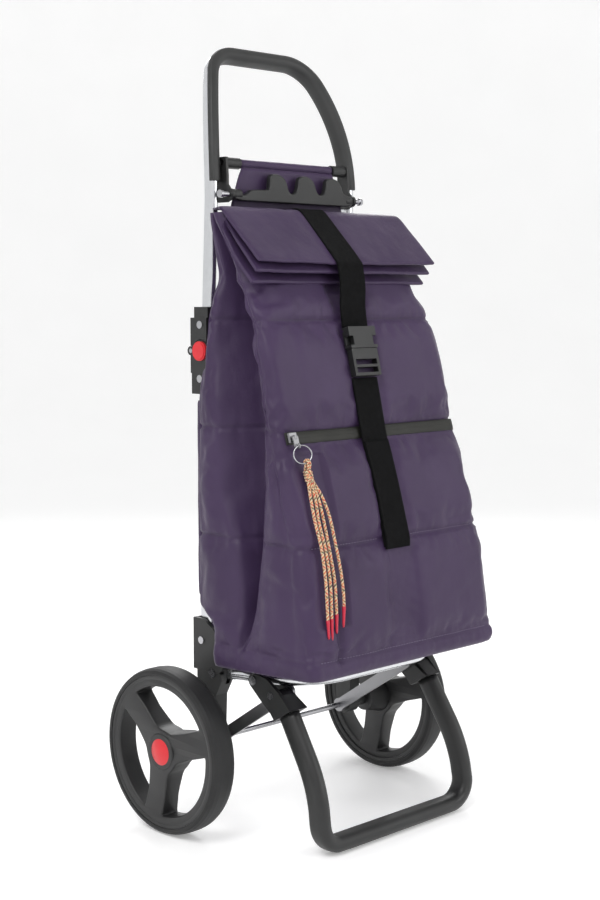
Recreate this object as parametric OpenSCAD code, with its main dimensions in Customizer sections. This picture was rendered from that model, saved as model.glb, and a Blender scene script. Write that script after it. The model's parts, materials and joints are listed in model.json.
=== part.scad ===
// Folding two-wheel shopping trolley with a quilted bag.
// Units are millimetres. Origin: centre of the footprint on the floor. Front faces -Y, up is +Z.
// Shapes are laid out from the wheel axle line and shifted to the footprint's centre at the end.

/* [Overall] */
// Distance from the axle to the front of the bag
front_reach = 234; // [226:1:246]
// Half distance between the two uprights' centres
half_track = 126.7; // [124:0.1:128]
// Height of the handle's hinge line
hinge_z = 621; // [618:1:624]

/* [Wheels] */
// Wheel radius over the tyre
wheel_r = 108; // [104:1:110]
// Tyre width
tyre_w = 36; // [32:1:38]
// Inner face of the tyre, from the middle
wheel_x = 188; // [186:1:192]
// Spoke width
spoke_w = 26; // [20:1:30]
// Axle radius
axle_r = 4; // [3.5:0.5:5]

/* [Handle] */
// Height at which the handle starts to curve back
bend_z = 808; // [800:1:816]
// Radius of the curve back
bend_r = 375; // [350:5:420]
// Radius of the side arcs
side_r = 390; // [370:5:410]
// Radius of the upper corners
corner_r = 53; // [48:1:58]
// Forward lean of the upper tubes, degrees
lean = 2.5; // [1.5:0.1:3]

/* [Bag] */
// Bag wall thickness
bag_t = 5; // [3:0.5:8]
// Strap width
strap_w = 47; // [40:1:50]
// Strap centre, from the middle
strap_x = -5; // [-10:1:10]

/* [Foot] */
// Foot loop half width at its bottom
foot_w = 138; // [134:1:140]
// Foot loop tube thickness in the loop
foot_t = 20; // [18:1:22]

/* [Hidden] */
$fn = 48;
yo = (front_reach - wheel_r) / 2;
eps = 0.01;
axle_z = wheel_r;
pin_a = [-8, 198];
hoop_tilt = 4.65;
pin_d = [-94, 205];
pin_c = [-126, 191];
hinge_y = 30;
tube_y = 12;
hook_y = -19;
hook_z = 822;
rod_y = -4;
rod_z = 863;

// ---- helpers ----
module shift() { translate([0, yo, 0]) children(); }
// left is the -X side
module left() { shift() mirror([1, 0, 0]) children(); }
module right() { shift() children(); }
// extrude a Y-Z outline from x0 to x1
module yz(x0, x1) {
  translate([x0, 0, 0]) rotate([90, 0, 90]) linear_extrude(x1 - x0) children();
}
// extrude an X-Z outline from y0 to y1
module xz(y0, y1) {
  translate([0, y1, 0]) rotate([90, 0, 0]) linear_extrude(y1 - y0) children();
}
module xcyl(x0, x1, p, r) { translate([x0, p[0], p[1]]) rotate([0, 90, 0]) cylinder(r = r, h = x1 - x0); }
module box(x0, x1, y0, y1, z0, z1) { translate([x0, y0, z0]) cube([x1 - x0, y1 - y0, z1 - z0]); }
// flat-oval outline, w across X and d across Y
module oval(w, d) {
  square([w, d - w], center = true);
  translate([0, (d - w) / 2]) circle(d = w);
  translate([0, -(d - w) / 2]) circle(d = w);
}
// a band of thickness t on the -Y side of a Y-Z path
function unit(v) = v / norm(v);
function nrm(p, i) = let (a = p[max(i - 1, 0)], b = p[min(i + 1, len(p) - 1)], d = unit(b - a)) [d[1], -d[0]];
module band(p, t, x0, x1) {
  n = len(p);
  yz(x0, x1) polygon(concat(p, [for (i = [n - 1:-1:0]) p[i] + t * nrm(p, i)]));
}
// sweeps: a frame is [origin, a vector, b vector]; a section is a list of [a, b]
function tri(a, b, c, d) = [[a, b, c], [a, c, d]];
module sweep(f, s) {
  n = len(s); m = len(f);
  pts = [for (g = f) for (q = s) g[0] + q[0] * g[1] + q[1] * g[2]];
  side = [for (i = [0:m - 2]) for (j = [0:n - 1]) let (k = (j + 1) % n)
    each tri(i * n + j, i * n + k, (i + 1) * n + k, (i + 1) * n + j)];
  o = (m - 1) * n;
  cap = [for (j = [0:n / 2 - 2]) each concat(tri(n - 1 - j, n - 2 - j, j + 1, j),
    tri(o + j, o + j + 1, o + n - 2 - j, o + n - 1 - j))];
  polyhedron(pts, concat(side, cap));
}
module sweep_tube(f, s, u) {
  n = len(s); m = len(f); h = n * m; o = (m - 1) * n;
  pts = concat([for (g = f) for (q = s) g[0] + q[0] * g[1] + q[1] * g[2]],
    [for (g = f) for (q = u) g[0] + q[0] * g[1] + q[1] * g[2]]);
  side = [for (i = [0:m - 2]) for (j = [0:n - 1]) let (k = (j + 1) % n) each concat(
    tri(i * n + j, i * n + k, (i + 1) * n + k, (i + 1) * n + j),
    tri(h + (i + 1) * n + j, h + (i + 1) * n + k, h + i * n + k, h + i * n + j))];
  cap = [for (j = [0:n - 1]) let (k = (j + 1) % n) each concat(
    tri(h + j, h + k, k, j), tri(o + j, o + k, h + o + k, h + o + j))];
  polyhedron(pts, concat(side, cap));
}
function stadium(ha, hb, g = 0) = concat(
  [for (i = [0:6]) [(ha - g) * cos(30 * i), (ha - g) * sin(30 * i) + hb - ha]],
  [for (i = [6:12]) [(ha - g) * cos(30 * i), (ha - g) * sin(30 * i) - hb + ha]]);
// round cord through the points p
function cord_frame(p, i) = let (t = unit(p[min(i + 1, len(p) - 1)] - p[max(i - 1, 0)]),
  u = unit(cross([0, 1, 0], t)), v = cross(t, u)) [p[i], u, -v];
module cord(p, r) {
  sweep([for (i = [0:len(p) - 1]) cord_frame(p, i)], [for (i = [0:7]) r * [cos(45 * i), sin(45 * i)]]);
}

// ---- handle centre line: s runs up the loop's surface from the hinge ----
h_s0 = hinge_z + 19;
h_y0 = 11 - 19 * tan(lean);
h_s1 = (bend_z - h_s0) / cos(lean);
function h_yz(s) = s <= h_s1 ? [h_y0 - s * sin(lean), h_s0 + s * cos(lean)]
  : let (a = (s - h_s1) / bend_r * 180 / PI) [
    h_y0 - h_s1 * sin(lean) + bend_r * (cos(lean) - cos(lean - a)),
    h_s0 + h_s1 * cos(lean) + bend_r * (sin(lean) - sin(lean - a))];
function h_ang(s) = s <= h_s1 ? lean : lean - (s - h_s1) / bend_r * 180 / PI;
function h_frame(q) = let (t = h_ang(q[1]), p = h_yz(q[1]), es = [0, -sin(t), cos(t)])
  [[q[0], p[0], p[1]], [cos(q[2]), 0, 0] + sin(q[2]) * es, [0, -cos(t), -sin(t)]];
arc_s = h_s1 + 30.7;
arc_a = 22;
arc_w = half_track - side_r * (1 - cos(arc_a)) - corner_r * cos(arc_a);
arc_t = arc_s + side_r * sin(arc_a) - corner_r * sin(arc_a);
h_low = [[half_track, 0, 0], [half_track, h_s1, 0], [half_track, h_s1 + 15, 0]];
h_arc = concat(
  [for (i = [0:7]) let (a = arc_a * i / 7) [half_track - side_r * (1 - cos(a)), arc_s + side_r * sin(a), a]],
  [for (i = [1:7]) let (a = arc_a + (90 - arc_a) * i / 7)
    [arc_w + corner_r * cos(a), arc_t + corner_r * sin(a), a]]);
function flip(l) = [for (i = [len(l) - 1:-1:0]) [-l[i][0], l[i][1], 180 - l[i][2]]];
h_all = [for (q = concat(h_low, h_arc, flip(h_arc), flip(h_low))) h_frame(q)];
h_grip = [for (q = concat(h_arc, flip(h_arc))) h_frame(q)];

// ---- foot loop centre line: s runs up the loop's surface from the floor ----
foot_lift = 1.5;
foot_y = -206.5;
foot_s1 = 25;
foot_r = 170;
foot_a = 32.5;
foot_s2 = foot_s1 + foot_r * foot_a * PI / 180;
foot_end = foot_s2 + 61.3;
function f_ang(s) = s <= foot_s1 ? 0 : min(foot_a, (s - foot_s1) / foot_r * 180 / PI);
function f_yz(s) = let (a = f_ang(s), e = max(0, s - foot_s2)) s <= foot_s1 ? [foot_y, s]
  : [foot_y + foot_r * (1 - cos(a)) + e * sin(a), foot_s1 + foot_r * sin(a) + e * cos(a)];
function f_frame(q) = let (t = -f_ang(q[1]), p = f_yz(q[1]), es = [0, -sin(t), cos(t)])
  [[q[0], p[0], p[1]], [cos(q[2]), 0, 0] + sin(q[2]) * es, [0, -cos(t), -sin(t)]];
foot_b = foot_lift + foot_t / 2;
f_half = concat(
  [for (i = [0:6]) let (a = -90 + 15 * i) [foot_w - 30 + 30 * cos(a), foot_b + 30 + 30 * sin(a), a]],
  [for (s = [60, 78, 96, foot_s2, foot_end]) [foot_w - (s - 40) * 0.033, s, 0]]);
f_all = [for (q = concat(flip(f_half), f_half)) f_frame(q)];

// ---- frame ----
module upright() {
  difference() {
    translate([half_track, tube_y, 214]) linear_extrude(394) difference() { oval(15, 24); oval(12, 21); }
    xcyl(110, 145, [tube_y, 240], 3.05);
    xcyl(110, 145, [tube_y, 585], 3.05);
  }
}
module guard_outline() {
  polygon([[28, 200], [-22, 200], [-29, 206], [-30, 222], [-25, 240], [-11, 257], [8, 269], [28, 269]]);
}
module side_guard() {
  difference() {
    yz(114.5, 140) guard_outline();
    box(118.7, 135.5, -60, 24.5, 190, 280);
    box(110, 119, -60, 0, 190, 280);
    xcyl(130, 145, pin_a, 7);
    xcyl(110, 145, [tube_y, 240], 3.05);
  }
}
module wheel_arm() {
  difference() {
    union() {
      yz(119, 139) {
        polygon([[22, 199.5], [-26, 199.5], [-26, 190], [-15, 170],
          [-12.5, 108], [12.5, 108], [17, 170], [22, 190]]);
        translate([0, axle_z]) circle(r = 13);
      }
      box(119, 135.3, -26, 22, 199.4, 213.8);
    }
    box(123, 130, -30, 3, 185, 220);
    xcyl(110, 145, [0, axle_z], axle_r + 0.02);
    xcyl(110, 145, pin_a, 3.97);
  }
}
module hinge_base() {
  difference() {
    union() {
      box(114, 140, -1, 30, 592, 620.7);
      box(116, 139.5, -0.6, 28.5, 565, 592.1);
      xcyl(134, 140, [10, hinge_z], 14.5);
      xcyl(114, 121, [hinge_y, hinge_z], 6);
      xcyl(133, 140, [hinge_y, hinge_z], 6);
    }
    translate([half_track, tube_y, 560]) linear_extrude(48.1) oval(15.04, 24.04);
    xcyl(121, 133, [hinge_y, hinge_z], 6.6);
    xcyl(130.8, 141, [10, hinge_z], 12.7);
    xcyl(110, 145, [hinge_y, hinge_z], 3.02);
    xcyl(110, 145, [tube_y, 585], 3.05);
  }
}
module hinge_fork() {
  difference() {
    union() {
      box(114, 140, -1, 30, hinge_z + 0.4, 664);
      box(115.2, 138.8, -2.4, 24, 664 - eps, 678);
      xcyl(121.3, 132.7, [hinge_y, hinge_z], 6);
      box(121.3, 132.7, 24, 30, hinge_z, 630);
    }
    box(121, 133, -4, 22.9, 600, hinge_z + 0.35);
    sweep([for (q = [[half_track, -0.2, 0], [half_track, 60, 0]]) h_frame(q)], stadium(6.56, 10.06));
    xcyl(110, 121.3, [hinge_y, hinge_z], 6.5);
    xcyl(132.7, 145, [hinge_y, hinge_z], 6.5);
    xcyl(130.4, 145, [10, hinge_z], 15.2);
    xcyl(110, 145, [hinge_y, hinge_z], 3.05);
    xcyl(110, 145, [11, 655], 3.05);
    box(122, 131.4, -5, -0.8, 640, 672);
  }
}
module rivet(x0, x1, p, r, head) {
  xcyl(x0, x1, p, r);
  xcyl(x0 - 1.5, x0, p, head);
  xcyl(x1, x1 + 1.5, p, head);
}
module frame_rivets() {
  rivet(114.5, 140, [tube_y, 240], 3, 5);
  rivet(116, 139.5, [tube_y, 585], 3, 5);
  rivet(119, 139, pin_a, 3.95, 6);
}

// ---- wheels ----
module wheel() {
  difference() {
    union() {
      difference() {
        xcyl(wheel_x + 1, wheel_x + tyre_w - 1, [0, axle_z], wheel_r - 9);
        xcyl(180, 230, [0, axle_z], wheel_r - 13.5);
      }
      for (a = [18, 138, 258]) translate([0, 0, axle_z]) rotate([-a, 0, 0])
        box(wheel_x + 2, wheel_x + tyre_w - 1.5, -(wheel_r - 11), -10, -spoke_w / 2, spoke_w / 2);
      xcyl(160, wheel_x + tyre_w - 1.5, [0, axle_z], 24);
    }
    xcyl(150, 230, [0, axle_z], 7);
    xcyl(206, 230, [0, axle_z], 12);
  }
}
module tyre() {
  translate([wheel_x, 0, axle_z]) rotate([0, 90, 0]) rotate_extrude($fn = 96) polygon([
    [wheel_r - 8.98, 0.5], [wheel_r - 6, 0], [wheel_r - 2.6, 1.6], [wheel_r - 0.7, 6], [wheel_r, 12],
    [wheel_r, tyre_w - 12], [wheel_r - 0.7, tyre_w - 6], [wheel_r - 2.6, tyre_w - 1.6],
    [wheel_r - 6, tyre_w], [wheel_r - 8.98, tyre_w - 0.5]]);
}
module wheel_bush() {
  difference() { xcyl(160.1, 206, [0, axle_z], 6.98); xcyl(150, 230, [0, axle_z], axle_r + 0.05); }
}
module hub_cap() {
  x = wheel_x + tyre_w - 1.5;
  difference() {
    translate([0, 0, axle_z]) rotate([0, 90, 0]) intersection() {
      translate([0, 0, x + 4 - 38.7]) sphere(r = 38.7, $fn = 96);
      translate([0, 0, x + 0.02]) cylinder(r = 17.25, h = 20);
    }
    xcyl(x - 1, x + 1.5, [0, axle_z], 13);
  }
}

// ---- folding platform and foot ----
module hoop_local(r) {
  for (s = [-1, 1]) {
    translate([s * 126, -30, 0]) rotate([90, 0, 0]) cylinder(r = r, h = 73);
    translate([s * 61, -103, 0]) mirror([s < 0 ? 1 : 0, 0, 0]) rotate([0, 0, -90])
      rotate_extrude(angle = 90) translate([65, 0]) circle(r = r);
  }
  translate([-61, -168, 0]) rotate([0, 90, 0]) cylinder(r = r, h = 122);
}
module platform_hoop() {
  translate([0, pin_a[0], pin_a[1]]) rotate([-hoop_tilt, 0, 0]) difference() {
    union() {
      hoop_local(7);
      for (s = [-1, 1]) {
        translate([s * 126.5 - 3, -34, -6.5]) cube([6, 34, 13]);
        translate([s * 126.5 - 3, 0, 0]) rotate([0, 90, 0]) cylinder(r = 8.6, h = 6);
      }
    }
    translate([-150, 0, 0]) rotate([0, 90, 0]) cylinder(r = 4, h = 300);
    translate([-150, -86.3, 0]) rotate([0, 90, 0]) cylinder(r = 3.55, h = 300);
  }
}
module base_board() {
  translate([0, pin_a[0], pin_a[1]]) rotate([-hoop_tilt, 0, 0]) box(-106, 106, -196, -42, 21, 25);
}
module at_d(x0, x1) { translate([0, pin_d[0], pin_d[1]]) yz(x0, x1) children(); }
module cheek() {
  polygon([[8.5, 0], [6, -7], [-14, -24], [-31, -37], [-38, -45.5], [-66, -28],
    [-47, -9.5], [-24, 6], [-8, 8.6], [0, 9]]);
  circle(r = 9);
}
module inner_cheek() {
  polygon([[8.5, 0], [6, -7], [-14, -24], [-31, -37], [-38, -45.5], [-66, -28],
    [-47, -17], [-24, -4], [-8, 8.6], [0, 9]]);
  circle(r = 9);
}
module foot_bracket() {
  difference() {
    union() {
      at_d(141, 146) cheek();
      at_d(114.3, 118.5) inner_cheek();
      at_d(118.4, 141.1) polygon([[-26, -10.5], [-47, -12], [-66, -28], [-38, -45.5], [-34, -33]]);
    }
    xcyl(110, 150, pin_c, 3.02);
    xcyl(110, 150, pin_d, 3.52);
  }
}
module foot_rivets() {
  for (s = [0, 1]) mirror([s, 0, 0]) {
    rivet(114.3, 146, pin_d, 3.5, 6);
    xcyl(133.5, 140.9, pin_d, 6);
    xcyl(114.3, 146, pin_c, 3);
    xcyl(146, 147.5, pin_c, 5);
  }
}
module link() {
  d = pin_c - [0, axle_z];
  difference() {
    union() {
      translate([110, 0, axle_z]) rotate([atan2(d[1], -d[0]) * -1, 0, 0]) {
        translate([0, -norm(d), -8]) cube([4, norm(d), 16]);
        rotate([0, 90, 0]) cylinder(r = 9.5, h = 4);
        translate([0, -norm(d), 0]) rotate([0, 90, 0]) cylinder(r = 8, h = 4);
      }
      xcyl(108.6, 110.1, pin_c, 5);
    }
    xcyl(100, 120, [0, axle_z], axle_r + 0.05);
  }
}

// ---- bag ----
bag_back = [[-3, 285], [-3, 588], [-12.5, 600], [-12.5, 700]];
bag_front = [[-104, 700], [-128, 662], [-163, 526], [-207, 383], [-224, 255], [-front_reach, 236],
  [-front_reach, 230], [-228, 223.5]];
module bag_yz(g) {
  k = g / bag_t;
  polygon(concat([[-40 - g, 215.5 + g], [-40 - g, 250], [-20 - g, 275 + g * 0.4]],
    [for (p = bag_back) [p[0] - g, min(p[1], 700 - g)]],
    [for (p = bag_front) [p[0] + g, max(min(p[1], 700 - g), 223.5 + g)]]));
}
bag_side = [[151, 700], [160, 662], [168, 526], [170, 383], [175, 255], [180, 236], [179, 226], [174, 214]];
module bag_xz(g) {
  polygon(concat([for (p = bag_side) [p[0] - g, max(min(p[1], 700 - g), 214 + g)]],
    [for (i = [len(bag_side) - 1:-1:0]) [-bag_side[i][0] + g, max(min(bag_side[i][1], 700 - g), 214 + g)]]));
}
module bag_solid(g) {
  intersection() { yz(-200, 200) bag_yz(g); xz(-300, 50) bag_xz(g); }
}
module bag_shell() { difference() { bag_solid(0); bag_solid(bag_t); } }
module roll_top() {
  yz(-165, 165) polygon([[-12.8, 700.3], [-104, 700.3], [-112, 709], [-129, 726],
    [-128.5, 737], [-56, 805], [-14, 806]]);
}
module upright_sleeve() {
  translate([half_track, tube_y, 300]) linear_extrude(256) difference() { oval(20.8, 29.4); oval(15.4, 24.4); }
}
strap_x0 = strap_x - strap_w / 2;
strap_x1 = strap_x + strap_w / 2;
module strap_upper() {
  band([[-18, 808.2], [-56.5, 807.6], [-61, 803.5], [-128, 740.5], [-131.4, 734],
    [-131.5, 726], [-134, 690], [-139.4, 652.5]],
    2, strap_x0, strap_x1);
}
module strap_lower() {
  band([[-155.5, 587.5], [-169, 530], [-173.5, 510], [-210.5, 387]], 2, strap_x0, strap_x1);
  band([[-176.4, 509], [-213.3, 388], [-213.5, 379], [-210.9, 373]], 2, strap_x0 + 1, strap_x1 - 1);
}
slope_a = 14.4;
slope_b = 17.1;
module on_front(y, z, a) { translate([0, y, z]) rotate([-a, 0, 0]) children(); }
module zipper_tape() {
  on_front(-165.2, 519, slope_b) {
    difference() {
      box(-158, 158, -1.8, -0.3, -7.5, 7.5);
      box(-158.1, 158.1, -3, -1.2, -0.6, 0.6);
    }
  }
}
module buckle_socket() {
  on_front(-136.5, 630, slope_a) translate([strap_x, 0, 0]) difference() {
    box(-25, 25, -17, -5.5, -8, 20);
    box(-20, 20, -14.6, -8, -9, 14);
    box(-30, -18, -18, -8.6, -4, 8);
    box(18, 30, -18, -8.6, -4, 8);
    box(-25.1, 25.1, -8, -5, 14.5, 17.5);
  }
}
module buckle_tongue() {
  on_front(-136.5, 630, slope_a) translate([strap_x, 0, 0]) {
    difference() {
      box(-24, 24, -15.5, -7, -44, -8.4);
      box(-19.5, 19.5, -20, 0, -40, -33);
      box(-19.5, 19.5, -20, 0, -29.5, -22.5);
    }
    for (x = [-13, 0, 13]) box(x - 3, x + 3, -13.6, -9, -8.5, 11);
  }
}

// ---- zip slider, ring and tassel ----
slider_x = -150;
eye_y = -8.2;
ring_z = -12;
module zip_slider() {
  on_front(-165.2, 519, slope_b) translate([slider_x, 0, 0]) difference() {
    union() { box(-6, 6, -6, -2.2, -6, 6); box(-1.6, 1.6, -10, -5.9, -2.4, 2.4); }
    xcyl(-5, 5, [eye_y, 0], 1.05);
  }
}
module zip_pull() {
  on_front(-165.2, 519, slope_b) translate([slider_x, 0, 0]) {
    xcyl(-4.2, 4.2, [eye_y, 0], 1);
    for (x = [-4.2, 2]) {
      xcyl(x, x + 2.2, [eye_y, 0], 1.7);
      box(x, x + 2.2, eye_y - 1.6, eye_y, -3.6, 0);
    }
    box(-4.2, 4.2, eye_y - 1.6, eye_y - 0.2, -12, -3.2);
    translate([0, -12.2, ring_z]) rotate([0, 90, 0]) rotate_extrude() translate([2.5, 0]) circle(r = 0.75);
  }
}
module key_ring() {
  on_front(-165.2, 519, slope_b) translate([slider_x + 3, -12.2, ring_z - 11]) rotate([90, 0, 0])
    rotate_extrude() translate([11.4, 0]) circle(r = 1.2);
}
knot_p = [-141.5, -187.5, 477.5];
module tassel_knot() {
  translate(knot_p) rotate([-slope_b, 0, 0]) {
    translate([0, 0, -11]) cylinder(r = 5.6, h = 16);
    translate([0, 0, 5]) sphere(r = 5.4);
  }
}
route_1 = [[-144, -190, 468], [-147, -198, 446], [-148, -206, 420], [-147, -216, 388],
  [-147, -223, 350], [-148, -226.5, 320], [-147.6, -227.5, 302]];
route_2 = [[-141, -190.5, 468], [-140, -199, 444], [-142, -207, 418], [-141, -217, 386],
  [-140, -223.5, 350], [-141, -227, 318], [-141, -227.5, 303]];
route_3 = [[-138.5, -190, 468], [-134, -198, 446], [-133, -206, 420], [-134, -216, 388],
  [-132, -223, 352], [-132, -226, 324], [-132, -227, 307]];
route_4 = [[-137.5, -189, 470], [-128, -197, 450], [-122, -205, 424], [-122, -214.5, 394],
  [-120, -222, 360], [-119, -226, 332], [-119, -227, 315]];
ends = [[-147, -228, 290], [-141, -228, 288], [-132.5, -227.6, 295], [-120.5, -227.6, 301]];
module tassel_ends() {
  for (e = ends) translate(e) cylinder(r = 2.6, h = 22, center = true);
}

// ---- handle parts ----
module handle_tube() { sweep_tube(h_all, stadium(6.5, 10), stadium(6.5, 10, 1.5)); }
grip_sec = [[7.1, 4.4], [7.3, 8], [5.6, 11.4], [0, 12.7], [-5.2, 11.7], [-8.6, 8], [-9.2, 3.5], [-9.2, -3.5],
  [-8, -8.4], [-4.4, -11.6], [-3.3, -9.3], [-5.75, -6.85], [-6.6, -3.5], [-6.6, 3.5], [-5.75, 6.85],
  [-3.3, 9.3], [0, 10.15], [3.3, 9.3], [5.75, 6.85], [6.6, 4.2]];
module handle_grip() { sweep(h_grip, grip_sec); }
module rod_bracket() {
  difference() {
    union() {
      yz(111, 115) {
        polygon([[6, 812], [6, 870], [-12, 870], [-14, 846], [-14, 812]]);
        translate([hook_y, hook_z]) circle(r = 7.5);
        polygon([[hook_y, hook_z + 7.5], [-13, 836], [-13, 812], [hook_y, hook_z - 7.5]]);
      }
      xcyl(86, 111.1, [rod_y, rod_z], 7.5);
    }
    xcyl(80, 120, [rod_y, rod_z], 4.02);
    xcyl(100, 120, [hook_y, hook_z], 3.02);
  }
}
module hook_pin() {
  xcyl(100, 128, [hook_y, hook_z], 3);
  xcyl(115.1, 128, [hook_y, hook_z], 3.6);
  xcyl(127.9, 132, [hook_y, hook_z], 5);
}
module back_panel() {
  difference() {
    union() {
      xz(-10, -8) polygon([[-104, 625], [104, 625], [106, 700], [103, 808], [90, 846],
        [84, 858], [-84, 858], [-90, 846], [-103, 808], [-106, 700]]);
      xcyl(-84, 84, [rod_y, rod_z], 6.2);
    }
    xcyl(-85, 85, [rod_y, rod_z], 4.02);
  }
}
module hook_bar() {
  difference() {
    union() {
      xz(-25, -16) {
        polygon([[-110.5, 816], [-110.5, 829], [-104, 827], [-93, 820.5], [-80, 829],
          [-48, 830.5], [-46.5, 847], [-43, 851],
          [-34, 851.5], [-25, 849], [-18, 843], [-13, 830], [-8, 826.5], [-1, 827], [4, 833],
          [6, 846], [10, 850.5],
          [19, 851.5], [28, 849], [35, 843], [40, 831], [45, 827.5], [52, 828], [57, 833],
          [58.5, 846], [62, 850.5],
          [71, 851], [80, 849], [87, 842], [91, 832], [100, 828.5], [110.5, 829], [110.5, 816],
          [96, 814], [-96, 814]]);
      }
      for (s = [-1, 1]) xcyl(s < 0 ? -110.7 : 97, s < 0 ? -97 : 110.7, [hook_y, hook_z], 7);
    }
    xcyl(-120, 120, [hook_y, hook_z], 3.05);
  }
}
module release_button() {
  difference() { xcyl(135.2, 143.4, [10, hinge_z], 12.6); xcyl(135, 136.5, [10, hinge_z], 9); }
  xcyl(143.3, 144.4, [10, hinge_z], 10.5);
}

c_tube = [0.75, 0.76, 0.78];
c_black = [0.12, 0.12, 0.13];
c_bag = [0.2, 0.15, 0.24];
c_red = [0.85, 0.1, 0.12];
c_web = [0.1, 0.1, 0.1];

color(c_tube) left() upright();  // lower_upright_left
color(c_tube) right() upright();  // lower_upright_right
color(c_black) left() hinge_base();  // hinge_base_left
color(c_black) right() hinge_base();  // hinge_base_right
color(c_black) left() side_guard();  // side_guard_left
color(c_black) right() side_guard();  // side_guard_right
color(c_black) left() wheel_arm();  // wheel_arm_left
color(c_black) right() wheel_arm();  // wheel_arm_right
color(c_tube) shift() xcyl(-214, 214, [0, axle_z], axle_r);  // axle
color(c_black) shift() for (s = [0, 1]) mirror([s, 0, 0])  // axle_spacers
  difference() { xcyl(139.2, 159.8, [0, axle_z], 8); xcyl(130, 170, [0, axle_z], axle_r + 0.02); }
color(c_tube) shift() for (s = [0, 1]) mirror([s, 0, 0])  // axle_clips
  difference() { xcyl(207.5, 209.5, [0, axle_z], 8); xcyl(200, 220, [0, axle_z], axle_r + 0.02); }
color(c_tube) shift()
  for (s = [0, 1]) mirror([s, 0, 0]) frame_rivets();
color(c_tube) shift() for (s = [0, 1]) mirror([s, 0, 0])  // hinge_pins
  xcyl(114, 140, [hinge_y, hinge_z], 3);
color(c_bag) shift() bag_shell();
color(c_bag) shift() roll_top();
color(c_bag) shift()  // upright_sleeves
  for (s = [0, 1]) mirror([s, 0, 0]) upright_sleeve();
color(c_web) shift() strap_upper();
color(c_web) shift() strap_lower();
color(c_web) shift() zipper_tape();
color(c_tube) shift() handle_tube();
color(c_black) shift() handle_grip();
color(c_black) left() hinge_fork();  // hinge_fork_left
color(c_black) right() hinge_fork();  // hinge_fork_right
color(c_tube) shift() xcyl(-113.6, 113.6, [rod_y, rod_z], 4);  // panel_rod
color(c_black) left() rod_bracket();  // rod_bracket_left
color(c_black) right() rod_bracket();  // rod_bracket_right
color(c_bag) shift() back_panel();
color(c_black) shift() for (s = [0, 1]) mirror([s, 0, 0]) hook_pin();  // hook_pins
color(c_tube) shift() for (s = [0, 1]) mirror([s, 0, 0])  // fork_rivets
  for (x = [112.5, 140]) xcyl(x, x + 1.5, [11, 655], 5);
color(c_black) shift() hook_bar();
color(c_red) left() release_button();  // release_button_left
color(c_red) right() release_button();  // release_button_right
color(c_tube) shift() platform_hoop();
color(c_black) shift() base_board();
color(c_black) shift() sweep(f_all, stadium(foot_t / 2, 15));  // foot_loop
color(c_black) left() foot_bracket();  // foot_bracket_left
color(c_black) right() foot_bracket();  // foot_bracket_right
color(c_tube) shift() foot_rivets();
color(c_web) shift()  // foot_pad
  box(-90, 90, foot_y - 4.5, foot_y + 4.5, 0, foot_lift - 0.02);
color(c_tube) left() link();  // link_left
color(c_tube) right() link();  // link_right
color(c_black) left() wheel();  // wheel_left
color(c_black) right() wheel();  // wheel_right
color(c_web) left() tyre();  // tyre_left
color(c_web) right() tyre();  // tyre_right
color(c_tube) left() wheel_bush();  // wheel_bush_left
color(c_tube) right() wheel_bush();  // wheel_bush_right
color(c_red) left() hub_cap();  // hub_cap_left
color(c_red) right() hub_cap();  // hub_cap_right
color(c_black) shift() buckle_socket();
color(c_black) shift() buckle_tongue();
color(c_tube) shift() zip_slider();
color(c_tube) shift() zip_pull();
color(c_tube) shift() key_ring();
color([0.8, 0.5, 0.3]) shift() tassel_knot();
color(c_red) shift() tassel_ends();
color([0.8, 0.7, 0.5]) shift() cord(route_1, 2);  // tassel_cord_1
color([0.8, 0.4, 0.2]) shift() cord(route_2, 2);  // tassel_cord_2
color([0.6, 0.2, 0.15]) shift() cord(route_3, 2);  // tassel_cord_3
color([0.4, 0.4, 0.2]) shift() cord(route_4, 2);  // tassel_cord_4
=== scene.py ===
import bpy, bmesh, math, json
import numpy as np
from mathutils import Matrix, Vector, noise
from mathutils.bvhtree import BVHTree

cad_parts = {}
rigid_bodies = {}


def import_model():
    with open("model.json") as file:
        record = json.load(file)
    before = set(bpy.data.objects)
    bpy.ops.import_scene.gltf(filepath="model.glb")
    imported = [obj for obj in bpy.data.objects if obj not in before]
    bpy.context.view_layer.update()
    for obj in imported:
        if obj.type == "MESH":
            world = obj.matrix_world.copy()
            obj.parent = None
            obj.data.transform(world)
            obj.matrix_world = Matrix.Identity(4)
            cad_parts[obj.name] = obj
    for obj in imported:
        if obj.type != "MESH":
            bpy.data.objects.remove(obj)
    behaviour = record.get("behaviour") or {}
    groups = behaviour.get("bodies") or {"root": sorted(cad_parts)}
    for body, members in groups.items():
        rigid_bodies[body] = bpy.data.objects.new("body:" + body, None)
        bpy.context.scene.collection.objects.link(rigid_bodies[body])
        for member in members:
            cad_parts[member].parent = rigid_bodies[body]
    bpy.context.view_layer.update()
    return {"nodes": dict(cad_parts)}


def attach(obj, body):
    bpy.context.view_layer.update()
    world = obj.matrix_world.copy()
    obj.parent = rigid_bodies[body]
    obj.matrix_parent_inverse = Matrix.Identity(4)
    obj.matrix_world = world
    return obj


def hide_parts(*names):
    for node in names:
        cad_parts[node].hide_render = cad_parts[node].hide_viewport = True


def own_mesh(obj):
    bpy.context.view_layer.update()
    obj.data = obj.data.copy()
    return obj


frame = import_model()
S = bpy.context.scene
YO = 0.063                      # axle line's Y in the row frame, metres
rad = math.radians


def P(x, y, z):
    """mm from the axle line -> metres in the row frame"""
    return (x / 1000.0, y / 1000.0 + YO, z / 1000.0)


# ---- camera
cam_d = bpy.data.cameras.new("cam")
cam = bpy.data.objects.new("cam", cam_d)
S.collection.objects.link(cam)
S.camera = cam
cam.location = (-1.4792, -1.4507, 0.6907)
cam.rotation_euler = (rad(84.4), 0, rad(-44.95))
cam_d.lens = 62.4
cam_d.sensor_width = 36
cam_d.sensor_fit = "AUTO"
cam_d.clip_start = 0.05
cam_d.clip_end = 60


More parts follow.
